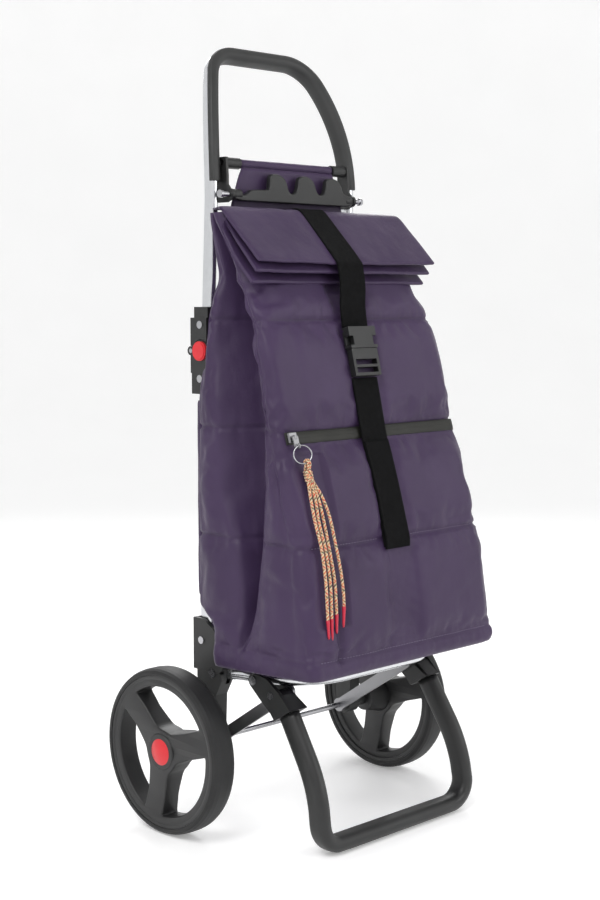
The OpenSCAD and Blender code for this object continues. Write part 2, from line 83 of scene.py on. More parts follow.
# ---- materials
class N:
    """small helper around a node tree"""

    def __init__(self, name):
        m = bpy.data.materials.new(name)
        m.use_nodes = True
        self.m = m
        self.t = m.node_tree
        self.b = self.t.nodes["Principled BSDF"]
        self.co = self.t.nodes.new("ShaderNodeTexCoord").outputs["Object"]

    def n(self, kind, **kw):
        x = self.t.nodes.new(kind)
        for k, v in kw.items():
            if k in x.inputs:
                x.inputs[k].default_value = v
            else:
                setattr(x, k, v)
        return x

    def l(self, a, b): self.t.links.new(a, b)

    def map(self, scale, rot=(0, 0, 0)):
        m = self.n("ShaderNodeMapping")
        m.inputs["Scale"].default_value = scale
        m.inputs["Rotation"].default_value = rot
        self.l(self.co, m.inputs["Vector"])
        return m.outputs[0]

    def noise(self, scale, detail=4, rough=0.5, vec=None):
        x = self.n("ShaderNodeTexNoise", Scale=scale, Detail=detail, Roughness=rough)
        self.l(vec or self.co, x.inputs["Vector"])
        return x.outputs["Fac"]

    def ramp(self, fac, a, b, pa=0.3, pb=0.7):
        r = self.n("ShaderNodeValToRGB")
        e = r.color_ramp.elements
        e[0].position, e[1].position = pa, pb
        e[0].color, e[1].color = (*a, 1), (*b, 1)
        self.l(fac, r.inputs["Fac"])
        return r.outputs["Color"]

    def rng(self, fac, lo, hi):
        r = self.n("ShaderNodeMapRange")
        r.inputs["To Min"].default_value = lo
        r.inputs["To Max"].default_value = hi
        self.l(fac, r.inputs["Value"])
        return r.outputs["Result"]

    def bump(self, fac, strength, dist, prev=None):
        x = self.n("ShaderNodeBump", Strength=strength, Distance=dist)
        self.l(fac, x.inputs["Height"])
        if prev is not None:
            self.l(prev, x.inputs["Normal"])
        return x.outputs["Normal"]

    def wave(self, scale, direction, dist=0.0, vec=None):
        x = self.n("ShaderNodeTexWave", Scale=scale, Distortion=dist)
        x.wave_type = "BANDS"
        x.bands_direction = direction
        self.l(vec or self.co, x.inputs["Vector"])
        return x.outputs["Fac"]

    def mul(self, a, b):
        x = self.n("ShaderNodeMath")
        x.operation = "MULTIPLY"
        self.l(a, x.inputs[0])
        if isinstance(b, float):
            x.inputs[1].default_value = b
        else:
            self.l(b, x.inputs[1])
        return x.outputs[0]

    def add(self, a, b):
        x = self.n("ShaderNodeMath")
        x.operation = "ADD"
        self.l(a, x.inputs[0])
        self.l(b, x.inputs[1])
        return x.outputs[0]

    def done(self, col=None, rough=None, normal=None, **kw):
        if col is not None:
            if isinstance(col, tuple):
                self.b.inputs["Base Color"].default_value = (*col, 1)
            else:
                self.l(col, self.b.inputs["Base Color"])
        if rough is not None:
            if isinstance(rough, float):
                self.b.inputs["Roughness"].default_value = rough
            else:
                self.l(rough, self.b.inputs["Roughness"])
        if normal is not None:
            self.l(normal, self.b.inputs["Normal"])
        for k, v in kw.items():
            self.b.inputs[k].default_value = v
        return self.m


def mat_quilt():
    k = N("quilted_nylon")
    big = k.noise(9.0, 3)
    col = k.ramp(big, (0.036, 0.0205, 0.054), (0.047, 0.028, 0.069))
    # fine plain weave, threads 0.45 mm apart, and a soft hand-crumple
    wx = k.wave(700.0, "X", 0.6)
    wz = k.wave(700.0, "Z", 0.6)
    weave = k.mul(wx, wz)
    n = k.bump(weave, 0.18, 0.0003)
    n = k.bump(k.noise(55.0, 5, 0.55), 0.22, 0.003, n)
    n = k.bump(k.noise(14.0, 3, 0.5), 0.25, 0.010, n)
    r = k.rng(k.noise(30.0, 4), 0.36, 0.50)
    return k.done(col, r, n, **{"Sheen Weight": 0.06, "Sheen Roughness": 0.35,
                  "Sheen Tint": (0.62, 0.52, 0.75, 1), "Specular IOR Level": 0.24})


def mat_webbing():
    k = N("ribbed_webbing")
    rib = k.wave(320.0, "Z", 0.3)
    fine = k.wave(900.0, "X", 0.2)
    n = k.bump(k.add(rib, k.mul(fine, 0.5)), 0.5, 0.0006)
    n = k.bump(k.noise(240.0, 3), 0.25, 0.0006, n)
    col = k.ramp(k.noise(160.0, 4), (0.0028, 0.0028, 0.0030), (0.006, 0.006, 0.0065))
    return k.done(col, 0.72, n, **{"Specular IOR Level": 0.07})


def mat_plastic(
    name="moulded_black", a=(
        0.008, 0.0082, 0.0082), b=(
            0.013, 0.0135, 0.0135), rough=0.42, grain=900.0, s=0.25):
    k = N(name)
    col = k.ramp(k.noise(24.0, 4), a, b)
    n = k.bump(k.noise(grain, 2, 0.6), s, 0.0002)
    n = k.bump(k.noise(70.0, 3), 0.05, 0.001, n)
    r = k.rng(k.noise(40.0, 5), rough - 0.06, rough + 0.08)
    return k.done(col, r, n, **{"Specular IOR Level": 0.5})


def mat_metal(name, base, rough, axis="Z", scale=500.0):
    k = N(name)
    col = k.ramp(k.noise(60.0, 3), tuple(c * 0.93 for c in base), base)
    st = k.map((1, 1, 0.03) if axis == "Z" else (0.03, 1, 1))
    fine = k.noise(scale, 3, 0.6, st)
    n = k.bump(fine, 0.06, 0.0002)
    r = k.rng(fine, rough - 0.05, rough + 0.07)
    return k.done(col, r, n, Metallic=1.0)


def mat_red():
    k = N("moulded_red")
    col = k.ramp(k.noise(35.0, 3), (0.56, 0.012, 0.020), (0.66, 0.020, 0.028))
    n = k.bump(k.noise(700.0, 2), 0.1, 0.0002)
    return k.done(col, k.rng(k.noise(90.0, 3), 0.3, 0.4), n, **{"Specular IOR Level": 0.5})


def mat_tread():
    k = N("solid_tyre")
    col = k.ramp(k.noise(30.0, 5), (0.009, 0.009, 0.0095), (0.015, 0.015, 0.0155))
    n = k.bump(k.noise(500.0, 4, 0.7), 0.3, 0.0003)
    return k.done(col, k.rng(k.noise(18.0, 4), 0.5, 0.66), n, **{"Specular IOR Level": 0.4})


def mat_zip():
    k = N("coated_zip_band")
    n = k.bump(k.noise(420.0, 2), 0.2, 0.0003)
    return k.done(k.ramp(k.noise(40.0, 3), (0.009, 0.0092, 0.0070),
                  (0.014, 0.0138, 0.0105)), 0.5, n, **{"Specular IOR Level": 0.35})


def mat_braid():
    k = N("braided_cord")
    a = k.n("ShaderNodeAttribute")
    a.attribute_name = "strand"
    a.attribute_type = "GEOMETRY"
    fib = k.noise(1400.0, 3)
    hue = k.n("ShaderNodeHueSaturation")
    k.l(a.outputs["Color"], hue.inputs["Color"])
    k.l(k.rng(fib, 0.7, 1.25), hue.inputs["Value"])
    n = k.bump(fib, 0.4, 0.0003)
    return k.done(hue.outputs["Color"], 0.75, n, **{"Sheen Weight": 0.3, "Specular IOR Level": 0.25})


def mat_thread():
    k = N("stitch_thread")
    return k.done(k.ramp(k.noise(900.0, 2), (0.10, 0.075, 0.13), (0.20, 0.16, 0.25)), 0.6)


def mat_dark_thread():
    k = N("dark_thread")
    return k.done(k.ramp(k.noise(900.0, 2), (0.020, 0.014, 0.030), (0.040, 0.028, 0.055)), 0.6)


M = dict(
    quilt=mat_quilt(), web=mat_webbing(), plastic=mat_plastic(),
    grip=mat_plastic("soft_grip", (0.013, 0.0135, 0.0135), (0.020, 0.0205, 0.0205), 0.5, 650.0, 0.35),
    rim=mat_plastic("wheel_plastic", (0.010, 0.010, 0.0105), (0.016, 0.016, 0.0165), 0.46, 800.0, 0.3),
    tube=mat_metal("satin_tube", (0.66, 0.67, 0.69), 0.2),
    steel=mat_metal("plated_steel", (0.46, 0.46, 0.48), 0.18, "X"),
    dark_steel=mat_metal("dark_steel", (0.30, 0.30, 0.31), 0.34, "X"),
    red=mat_red(), tread=mat_tread(), zip=mat_zip(), braid=mat_braid(), thread=mat_thread(),
    tip=mat_plastic("dipped_tip", (0.42, 0.008, 0.030), (0.52, 0.014, 0.045), 0.3, 600.0, 0.1),
    dark_thread=mat_dark_thread())


# ---- mesh helpers
def mesh(name, verts, faces, mat, smooth=True):
    me = bpy.data.meshes.new(name)
    me.from_pydata([tuple(v) for v in verts], [], faces)
    me.update()
    o = bpy.data.objects.new(name, me)
    S.collection.objects.link(o)
    me.materials.append(M[mat] if isinstance(mat, str) else mat)
    if smooth:
        me.polygons.foreach_set("use_smooth", [True] * len(me.polygons))
    bm = bmesh.new()
    bm.from_mesh(me)
    bmesh.ops.recalc_face_normals(bm, faces=bm.faces)
    bm.to_mesh(me)
    bm.free()
    return o


def grid_faces(rows, cols, closed=True, base=0):
    """quads over a grid of rows x cols points"""
    f = []
    for i in range(rows - 1):
        for j in range(cols if closed else cols - 1):
            k = (j + 1) % cols
            low, high = base + i * cols, base + (i + 1) * cols
            f.append((low + j, low + k, high + k, high + j))
    return f


def capped(rows, cols):
    """a closed grid of quads with a face over each end"""
    ends = [tuple(range(cols))[::-1], tuple((rows - 1) * cols + j for j in range(cols))]
    return grid_faces(rows, cols) + ends


def spline(pts, step):
    """Catmull-Rom through pts, resampled about every step"""
    p = np.asarray(pts, float)
    out = []
    for i in range(len(p) - 1):
        a, b, c, d = p[max(i - 1, 0)], p[i], p[i + 1], p[min(i + 2, len(p) - 1)]
        m = max(2, int(np.linalg.norm(c - b) / step))
        for t in np.arange(m) / m:
            out.append(0.5 * ((2 * b) + (c - a) * t + (2 * a - 5 * b + 4 * c - d)
                       * t * t + (3 * b - a - 3 * c + d) * t ** 3))
    out.append(p[-1])
    return np.array(out)


def frames(path, up=(0, 1, 0)):
    """points, tangents and two cross directions along a path"""
    p = np.asarray(path, float)
    t = np.gradient(p, axis=0)
    t /= np.linalg.norm(t, axis=1)[:, None]
    u = np.cross(np.array(up, float), t[0])
    u /= np.linalg.norm(u)
    us = []
    for i in range(len(p)):
        u = u - t[i] * (u @ t[i])
        u /= np.linalg.norm(u)
        us.append(u)
    us = np.array(us)
    return p, t, us, np.cross(t, us)


def tube(name, path, r, mat, sides=12, up=(0, 1, 0)):
    """path in mm from the axle line; r in mm, one number or one per point"""
    p, t, u, v = frames(path, up)
    n = len(p)
    r = np.broadcast_to(np.asarray(r, float), (n,))
    a = np.arange(sides) * 2 * math.pi / sides
    V = [P(*(p[i] + r[i] * (math.cos(x) * u[i] + math.sin(x) * v[i]))) for i in range(n) for x in a]
    return mesh(name, V, capped(n, sides), mat)


PAL = [(0.62, 0.50, 0.30), (0.50, 0.020, 0.022), (0.60, 0.46, 0.28),
        (0.035, 0.040, 0.022), (0.66, 0.54, 0.36), (0.55, 0.16, 0.05)]


def braid(name, path, r, sides=16, pitch=9.0):
    """a braided cord: two sets of carriers cross over and under"""
    p, t, u, v = frames(path)
    n = len(p)
    s = np.concatenate([[0], np.cumsum(np.linalg.norm(np.diff(p, axis=0), axis=1))])
    V, C = [], []
    for i in range(n):
        for j in range(sides):
            th = 2 * math.pi * j / sides
            h = s[i] / pitch
            a, b = (th / (2 * math.pi) + h) * 4, (th / (2 * math.pi) - h) * 4
            ca, cb = 0.5 - abs(a % 1 - 0.5), 0.5 - abs(b % 1 - 0.5)
            over = (int(a // 1) + int(b // 1)) % 2 == 0
            c = ca if over else cb
            V.append(P(*(p[i] + (r * (0.86 + 0.3 * c)) * (math.cos(th) * u[i] + math.sin(th) * v[i]))))
            C.append(PAL[(int(a // 1) + int(h)) % 6] if over else PAL[(int(b // 1) * 5 + 2) % 6])
    o = mesh(name, V, capped(n, sides), "braid")
    at = o.data.attributes.new("strand", "FLOAT_COLOR", "POINT")
    at.data.foreach_set("color", [x for c in C for x in (*c, 1.0)])
    return o


def sm(a, b, x):
    t = min(1.0, max(0.0, (x - a) / (b - a)))
    return t * t * (3 - 2 * t)


def ip(x, xs, ys): return float(np.interp(x, xs, ys))


# ---- tassel cords (route points listed, the same as the CAD's)
ROUTES = [
    [(-144, -190, 468), (-147, -198, 446), (-148, -206, 420), (-147, -216, 388),
     (-147, -223, 350), (-148, -226.5, 320), (-147.6, -227.5, 302)],
    [(-141, -190.5, 468), (-140, -199, 444), (-142, -207, 418), (-141, -217, 386),
     (-140, -223.5, 350), (-141, -227, 318), (-141, -227.5, 303)],
    [(-138.5, -190, 468), (-134, -198, 446), (-133, -206, 420), (-134, -216, 388),
     (-132, -223, 352), (-132, -226, 324), (-132, -227, 307)],
    [(-137.5, -189, 470), (-128, -197, 450), (-122, -205, 424), (-122, -214.5, 394),
     (-120, -222, 360), (-119, -226, 332), (-119, -227, 315)]]
for i, rt in enumerate(ROUTES):
    q = spline(rt, 1.1)
    o = braid(f"braided_strand_{i + 1}", q, 2.05)
    L = float(np.linalg.norm(np.diff(q, axis=0), axis=1).sum()) / 1000
    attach(o, "tassel")
    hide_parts(f"tassel_cord_{i + 1}")


# ---- bag
SEAMS = (662.0, 526.0, 387.0, 251.0)
PANELS = ((251.0, 387.0), (387.0, 508.0), (529.0, 662.0), (662.0, 722.0))


# the bag's outline against the height z, all in mm
def bag_w(z):
    """half width"""
    return ip(z, [214, 226, 236, 255, 383, 526, 662, 700, 740, 790, 800],
              [173, 178, 179, 175, 170, 168, 160, 152, 154, 158, 157])


def bag_f(z):
    """front face"""
    return ip(z, [213, 216, 220, 225, 232, 240, 255, 383, 526, 662, 700, 790, 800],
              [-223, -229, -232, -233, -232.5, -229, -224, -207, -163, -128, -104, -57, -52])


def bag_r(z):
    """rear face"""
    return ip(z, [585, 600], [-3.4, -12.9])


def bag_fold(z):
    """rear edge of the side fold"""
    return ip(z, [214, 290, 372, 449, 533, 656, 706, 770, 800],
              [-94, -94, -85, -55, -53, -30, -38, -24, -22])


def bag_depth(z):
    """how deep the side fold goes in"""
    return ip(z, [214, 240, 262, 300, 380, 690, 740, 800], [0.5, 1.5, 14, 44, 60, 58, 34, 16])


def bag_lip(z):
    """front edge of the side fold"""
    y = ip(z, [214, 240, 304, 370, 457, 538, 595, 646, 697, 737, 785, 800],
           [-104, -108, -122, -130, -138, -136, -122, -116, -86, -75, -50, -46])
    return max(y, bag_f(z) + 22)


def puff(z):
    """how far the padding swells at a height, 0 at the seams"""
    for a, b in PANELS:
        if a < z < b:
            u = (z - a) / (b - a)
            return min(1.0, 1.55 * math.sin(math.pi * u)) ** 0.75
    return 0.0


def section(z):
    """half of a level outline: x, y and how far each point may swell"""
    w, yf, yr, k = bag_w(z), bag_f(z), bag_r(z), sm(268, 294, z)
    yf_, lip, d = bag_fold(z), bag_lip(z), bag_depth(z)
    ys = ip(z, [600, 664, 706, 770], [-17, -17, -24, -17]) if z > 600 else -17
    wr = min(w - 3, ip(z, [560, 600, 660, 690, 712, 750, 790], [164, 156, 151, 146, 136, 140, 146]))
    r1 = (110 + (wr - 14 - 110) * k, yr)
    r2 = (110.5 + (wr - 5 - 110.5) * k, -36 + 28 * k if z < 600 else yr - 3)
    s_ = (wr + (w - 3 - wr) * (1 - k), -44 + (44 + ys) * k)
    f1 = (s_[0] + 1, min(yf_, s_[1] - 4))
    v = (min(w, s_[0] + 6) - 2 - d, 0.58 * f1[1] + 0.42 * lip)
    l_ = (w - 3, lip)
    # start, end, number of points, swell
    seg = [((0, yr), r1, 22, 0), (r1, r2, 2, 0), (r2, s_, 4, 0.2), (s_, f1, 9, 0.6),
           (f1, v, 9, 0.0), (v, l_, 9, 0.1), (l_, (w - 1, yf + 17), 11, 0.75)]
    out = []
    for a, b, m, g in seg:
        for t in np.arange(m) / m:
            gg = g * math.sin(math.pi * (t + 0.5 / m)) if g else 0
            out.append((a[0] + (b[0] - a[0]) * t, a[1] + (b[1] - a[1]) * t, gg))
    for t in np.arange(7) / 7:
        a = t * math.pi / 2
        out.append((w - 17 + 16 * math.cos(a), yf + 16 - 16 * math.sin(a), 0.5))
    m = 27
    for t in np.arange(m + 1) / m:
        x = (w - 17) * (1 - t)
        g = (1 - (x / (w - 6)) ** 4)
        out.append((x, yf, 0.45 + 0.55 * g))
    return out


def loft():
    """the bag's levels, bottom to top; its front edge starts a little higher"""
    zz = np.linspace(213.5, 797, 108)
    rows = []
    for z in zz:
        h = section(z)
        full = h + [(-x, y, g) for x, y, g in h[::-1]][1:-1]
        rows.append([(x, y, z + (max(0, -y) / 225.0 * 11) * (1 - sm(230, 284, z)), g)
                    for x, y, g in full])
    return zz, np.array(rows)


def strap_press(x): return 1 - 0.62 * math.exp(-((x + 5) / 31.0) ** 4)


zz, R = loft()
nr, nc = R.shape[:2]
A = R[:, :, :3].copy()
for _ in range(2):                                  # soften the folds a little, level by level
    A = 0.5 * A + 0.25 * (np.roll(A, 1, 1) + np.roll(A, -1, 1))
tx = np.roll(A, -1, 1) - np.roll(A, 1, 1)
nx = np.stack([tx[..., 1], -tx[..., 0]], -1)
nx /= np.linalg.norm(nx, axis=-1, keepdims=True) + 1e-9
mid = A[:, :, :2].mean(1, keepdims=True)
sgn = np.sign(((A[0, :, :2] - mid[0]) * nx[0]).sum())
nx *= sgn
for i in range(nr):
    for j in range(nc):
        x, y, z = A[i, j]
        g = R[i, j, 3]
        front = y < bag_f(zz[i]) + 8
        a = (8.0 * strap_press(x) if front else 5.5) * g * puff(z)
        if front and z > 270:
            a *= 1 - 0.6 * math.exp(-((x + 134) / 22.0) ** 4)
        a *= 1 + 0.25 * noise.noise((x * 0.016, y * 0.016 + 3, z * 0.02))
        A[i, j, :2] += nx[i, j] * a
cols = A.reshape(-1, 3)
bag = mesh("quilted_bag", [P(*p) for p in cols], capped(nr, nc), "quilt")


def coords(o):
    """vertex places of a mesh, metres"""
    c = np.empty(len(o.data.vertices) * 3)
    o.data.vertices.foreach_get("co", c)
    return c.reshape(-1, 3)


def put(o, c):
    """write the vertex places back"""
    o.data.vertices.foreach_set("co", np.asarray(c, float).ravel())
    o.data.update()


def swell(o, weights, cap, pressure, shrink, mask):
    """cloth simulation under a little inner pressure, held where weights are 1, then capped and applied"""
    c0 = coords(o)
    g = o.vertex_groups.new(name="held")
    for i, w in enumerate(weights):
        if w > 0:
            g.add([i], float(w), "REPLACE")
    md = o.modifiers.new("Cloth", "CLOTH")
    c = md.settings
    c.quality = 6
    c.mass = 0.25
    c.air_damping = 2.0
    c.tension_stiffness = c.compression_stiffness = 14
    c.shear_stiffness = 6
    c.bending_stiffness = 0.25
    c.use_pressure = True
    c.uniform_pressure_force = pressure
    c.vertex_group_mass = "held"
    c.pin_stiffness = 2
    c.shrink_min = shrink
    c.effector_weights.gravity = 0
    md.collision_settings.use_collision = False
    md.collision_settings.use_self_collision = False
    for f in range(1, 21):
        S.frame_set(f)
    ev = o.evaluated_get(bpy.context.evaluated_depsgraph_get())
    c1 = np.empty(len(c0) * 3)
    ev.data.vertices.foreach_get("co", c1)
    c1 = c1.reshape(-1, 3)
    o.modifiers.remove(md)
    o.vertex_groups.remove(g)
    S.frame_set(1)
    d = (c1 - c0) * mask[:, None]
    n = np.linalg.norm(d, axis=1, keepdims=True)
    d = np.nan_to_num(d * np.minimum(1, cap / np.maximum(n, 1e-9)))
    put(o, c0 + d)
    far, mean = float(n.max()) * 1000, float(n.mean()) * 1000
    print("swell", o.name, "moved at most", round(far, 1), "mm, mean", round(mean, 2))


def hold(x, y, z, zrow, g):
    """cloth weight: 1 where sewn or hidden, less in the panels"""
    w = 0.0
    for s in SEAMS:
        w = max(w, math.exp(-((z - s) / 5.0) ** 4))
    w = max(w, math.exp(-((z - 518) / 10.0) ** 4))
    if zrow < 241 or z > 745 or g <= 0.05:
        w = 1.0
    if y < bag_f(zrow) + 10 and abs(x + 5) < 22:
        w = max(w, 0.4)
    return w


W = [hold(*A[i, j], zz[i], R[i, j, 3]) for i in range(nr) for j in range(nc)]
mask = np.array([min(1.0, R[i, j, 3] * 1.6) * (0 if zz[i] < 226 else 1)
                for i in range(nr) for j in range(nc)])
swell(bag, W, 0.0040, 3.0, -0.03, mask)

bm = bmesh.new()
bm.from_mesh(bag.data)
caps = [f for f in bm.faces if len(f.verts) > 6]
bmesh.ops.delete(bm, geom=[f for f in caps if f.calc_center_median().z > 0.5], context="FACES_ONLY")
bm.to_mesh(bag.data)
bm.free()
for p in bag.data.polygons:
    if len(p.vertices) > 6:
        p.use_smooth = False
sub = bag.modifiers.new("sub", "SUBSURF")
sub.levels = sub.render_levels = 1


def bake_mods(o):
    me = bpy.data.meshes.new_from_object(o.evaluated_get(bpy.context.evaluated_depsgraph_get()))
    o.modifiers.clear()
    o.data = me


bake_mods(bag)
C = coords(bag) * 1000
C[:, 1] -= YO * 1000
NRM = np.empty(len(C) * 3)
bag.data.vertices.foreach_get("normal", NRM)
NRM = NRM.reshape(-1, 3)
D = np.zeros(len(C))
for i, (x, y, z) in enumerate(C):
    rear = NRM[i, 1] > 0.6
    d = 0.0
    if not rear and z > 236:
        for s in SEAMS:
            e = abs(z - s - 0.6 * noise.noise((x * 0.05, y * 0.05, s)))
            if e < 60:
                d -= (1.6 if s < 300 else 3.0) * math.exp(-(e / 2.4) ** 2)
                near = math.exp(-e / 15.0) * (1 - math.exp(-(e / 3.0) ** 2))
                d += 1.7 * near * noise.noise((x * 0.125, y * 0.125, z * 0.02 + s))
                d += 1.3 * math.exp(-e / 30.0) * noise.noise((x * 0.05, y * 0.05, z * 0.012 + s * 0.3))
        if y < bag_f(z) + 8:
            if 236 < z < 490:
                f_ = sm(236, 262, z) * (1 - sm(455, 488, z))
                q_ = x + 128 + 2.5 * math.sin(z * 0.02)
                wide = 6.0 if q_ > 0 else 3.2
                d -= f_ * 6.0 * math.exp(-(q_ / wide) ** 2)
                d += f_ * (1 - sm(380, 400, z)) * 2.2 * math.exp(-((q_ + 13) / 8.0) ** 2)
            d += 1.1 * noise.noise((x * 0.02 + z * 0.012, 5.1, z * 0.03 - x * 0.01))
            for s in (-1, 1):        # the strap pulls the padding in along its edges
                if z < 700:
                    d -= 0.9 * math.exp(-((x + 5 - s * 27) / 4.0) ** 2)
        else:
            d += 1.9 * noise.noise((y * 0.045, z * 0.024 + y * 0.02, 9.0 * (1 if x > 0 else -1)))
    D[i] = d
C += NRM * D[:, None]
for p in C:                     # room for the tassel that hangs in front
    if p[0] < -108 and 290 < p[2] < 500:
        lim = bag_f(p[2]) - 4.2 + 3.0 * sm(430, 480, p[2])
        if p[1] < lim:
            p[1] = lim + 0.15 * (p[1] - lim)
C[:, 1] += YO * 1000
put(bag, C / 1000)
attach(bag, "frame")
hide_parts("bag_shell")


# ---- rolled top: three folded layers that fan out forwards
def slab(name, path, half, x0, x1, sag, seed):
    """one folded layer with a rounded front edge"""
    q = spline([(0, a, b) for a, b in path], 4.0)[:, 1:]
    n = len(q)
    t = np.gradient(q, axis=0)
    t /= np.linalg.norm(t, axis=1, keepdims=True)
    up = np.stack([t[:, 1], -t[:, 0]], -1)
    if up[0][1] < 0:
        up = -up
    s = np.linspace(0, 1, n)
    th = np.interp(s, [0, 0.25, 0.9, 1], [half * 0.5, half * 0.7, half, half * 0.85])
    loop = [(q[i] + up[i] * th[i], s[i], up[i]) for i in range(n)]
    for a in np.arange(1, 6) * 30:
        r = rad(a)
        loop.append((q[-1] + th[-1] * (math.cos(r) * up[-1] + math.sin(r) * t[-1]), 1.0, up[-1]))
    loop += [(q[i] - up[i] * th[i], s[i], up[i]) for i in range(n - 1, -1, -1)]
    xs = np.concatenate([[x0, x0 + 0.8, x0 + 2.2], np.arange(x0 + 7, x1 - 6, 5.5),
                         [x1 - 2.2, x1 - 0.8, x1]])
    V = []
    for x in xs:
        e = min(x - x0, x1 - x)
        pin = 1 - 0.45 * math.exp(-(e / 1.6))
        for p_, s_, u_ in loop:
            j = min(n - 1, int(s_ * (n - 1)))
            c_ = q[j]
            p = c_ + (p_ - c_) * pin
            x_ = x * (1 - 0.155 * (1 - sm(0.0, 0.34, s_)))
            wave = noise.noise((p[1] * 0.02, seed, 1.0 if x > 0 else -1.0))
            xx = x_ + s_ * 2.5 * wave * (1 if e < 20 else 0)
            o_ = -sag * s_ ** 2 * (1 - (x / 165) ** 2)
            o_ -= 2.0 * s_ * math.exp(-((x + 5) / 27.0) ** 4) * (seed < 2)
            o_ += s_ * 1.6 * noise.noise((x * 0.018 + seed, s_ * 2.2, seed * 3.1))
            o_ += 0.5 * noise.noise((x * 0.06, s_ * 6, seed))
            if seed < 2:                # a crease left of the strap, on the top layer
                o_ += 1.5 * s_ * math.exp(-((x + 38 - 14 * s_) / 7.0) ** 2)
                o_ -= 1.2 * s_ * math.exp(-((x + 52 - 22 * s_) / 6.0) ** 2)
            V.append(P(xx, p[0] + u_[0] * o_, p[1] + u_[1] * o_))
    o = mesh(name, V, capped(len(xs), len(loop)), "quilt")
    for p in o.data.polygons:
        if len(p.vertices) > 6:
            p.use_smooth = False
    return o


# name, (y, z) path, half thickness, left and right ends, sag, noise seed
LAYERS = (
    ("roll_top_outer", [(-14.5, 802.6), (-40, 802.4), (-54, 801.6), (-62, 797), (-74, 785.5),
                        (-98, 762), (-124.5, 736.5)], 3.0, -165, 165, 2.0, 1.3),
    ("roll_top_middle", [(-30, 797), (-48, 795.5), (-58, 790.5), (-70, 777), (-92, 751),
                         (-119.5, 723.5)], 2.9, -163.5, 161, 1.0, 4.7),
    ("roll_top_inner", [(-28, 791), (-44, 789), (-53, 782), (-64, 766), (-84, 738),
                        (-111.5, 710.0)], 3.2, -164, 158, 0.5, 8.2))
folds = [slab(*layer) for layer in LAYERS]
for o in folds:
    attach(o, "frame")
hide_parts("roll_top")


# ---- flat straps laid on the fabric
def tree(objs):
    """one ray-cast tree over several meshes"""
    vs, fs = [], []
    for o in objs:
        b = len(vs)
        vs += [tuple(v.co) for v in o.data.vertices]
        fs += [tuple(b + k for k in p.vertices) for p in o.data.polygons]
    return BVHTree.FromPolygons(vs, fs)


SKIN = tree([bag] + folds)


def over(p, n, reach=0.03, lift=0.0):
    """where a ray from outside meets the fabric, as a distance along n from p (metres)"""
    n = Vector(n).normalized()
    h = SKIN.ray_cast(Vector(p) + n * reach, -n, reach + 0.02)
    return (reach - h[3] + lift) if h[0] is not None else 0.0


def ribbon(name, centre, across, up, half, prof, mat, lift, lo=-0.004, hi=0.012, flat=0.5):
    """centre in metres, row frame; across, up: unit vectors per point; prof: [(v, height mm)]"""
    n = len(centre)
    m = len(prof)
    off = np.zeros((n, m))
    for i in range(n):
        for j, (v, h) in enumerate(prof):
            off[i, j] = min(hi, max(lo, over(centre[i] + across[i] * v * half, up[i], lift=lift)))
    for _ in range(3):
        k = np.vstack([off[:1], off, off[-1:]])
        off = np.maximum(off, 0.25 * k[:-2] + 0.5 * k[1:-1] + 0.25 * k[2:])
    off = (1 - flat) * off + flat * off.mean(1, keepdims=True)
    for _ in range(4):
        k = np.vstack([off[:1], off, off[-1:]])
        off = 0.25 * k[:-2] + 0.5 * k[1:-1] + 0.25 * k[2:]
    V = []
    for i in range(n):
        for j, (v, h) in enumerate(prof):
            V.append(centre[i] + across[i] * v * half + up[i] * (off[i, j] + h / 1000))
        for j in range(m - 1, -1, -1):
            V.append(centre[i] + across[i] * prof[j][0] * half + up[i] * (off[i, j] - 0.0002))
    return mesh(name, V, capped(n, 2 * m), mat)


def yz_ribbon(name, path, x, half, thick, mat, lift, **kw):
    """a strap of one width along a (y, z) path, with raised edges"""
    q = spline([(x, a, b) for a, b in path], 4.0)
    t = np.gradient(q, axis=0)
    t /= np.linalg.norm(t, axis=1, keepdims=True)
    up = np.stack([0 * t[:, 0], t[:, 2], -t[:, 1]], -1)
    up = np.array([u if u @ np.array((0, -1, 0.4)) > 0 else -u for u in up])
    c = np.array([P(*p) for p in q])
    ac = np.tile((1.0, 0, 0), (len(q), 1))
    k = thick
    prof = [(-1, k * 0.55), (-0.97, k * 1.0), (-0.9, k * 1.12), (-0.8, k), (-0.4, k), (0, k),
            (0.4, k), (0.8, k), (0.9, k * 1.12), (0.97, k), (1, k * 0.55)]
    return ribbon(name, c, ac, up, half / 1000, prof, mat, lift, **kw)


STRAP_X, STRAP_HALF, STRAP_T = -5, 23.5, 1.7
UPPER = [(-18, 806.4), (-40, 806.3), (-53, 806.0), (-60, 802.5), (-70, 792.5), (-100, 764), (-124, 741.5),
         (-130.2, 734), (-131.2, 726), (-132.5, 708), (-134, 690), (-137, 668), (-139.6, 652)]
LOWER = [(-155.3, 588), (-162, 560), (-169, 530), (-178, 495), (-195, 438), (-210.5, 387), (-213, 377)]
FOLDED = [(-175.3, 508), (-182, 488), (-197, 440), (-211.5, 392), (-213.6, 381), (-213.4, 374)]
su = yz_ribbon("closing_strap_upper", UPPER, STRAP_X, STRAP_HALF, STRAP_T, "web", 0.0003,
               lo=-0.003, hi=0.006)
sl = yz_ribbon("closing_strap_lower", LOWER, STRAP_X, STRAP_HALF, STRAP_T, "web", 0.0003,
               lo=-0.002, hi=0.008)
se = yz_ribbon("strap_folded_end", FOLDED, STRAP_X, 22.6, 1.9, "web", 0.0023, lo=-0.001, hi=0.010)
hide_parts("strap_upper")
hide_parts("strap_lower")
for o in (su, sl, se):
    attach(o, "frame")

# zip band
ca, sa = math.cos(rad(17.1)), math.sin(rad(17.1))


def onf(x, y, z, y0=-165.2, z0=519.0, a=17.1):
    c_, s_ = math.cos(rad(a)), math.sin(rad(a))
    return P(x, y0 + c_ * y + s_ * z, z0 - s_ * y + c_ * z)


